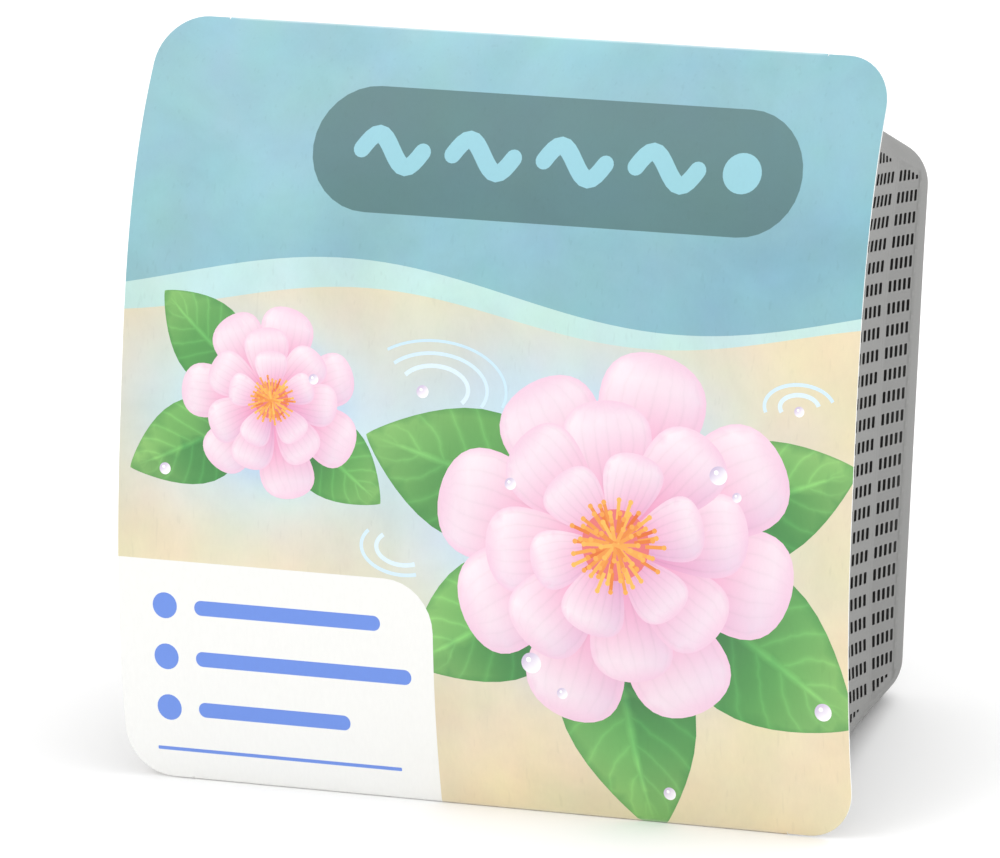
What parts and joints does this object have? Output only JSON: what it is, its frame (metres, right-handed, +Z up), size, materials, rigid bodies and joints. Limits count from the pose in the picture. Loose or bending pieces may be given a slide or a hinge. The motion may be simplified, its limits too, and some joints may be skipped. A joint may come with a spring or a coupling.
{
  "type": "square pond planting basket with printed card cover",
  "caption": "Square perforated plastic pond basket lying on its side, its mouth covered by a bowed printed card with folded flaps.",
  "frame": {"origin": "middle of the whole pack on the level that it lies on", "axes": "+X across the card, +Y from the card towards the basket's base, +Z up as it lies"},
  "size_m": [0.193, 0.1466, 0.1859],
  "materials": {
    "grey_plastic": "satin",
    "printed_card": "matte print with a soft sheen"
  },
  "bodies": {
    "root": {"basket": "grey_plastic", "card": "printed_card"}
  },
  "joints": []
}
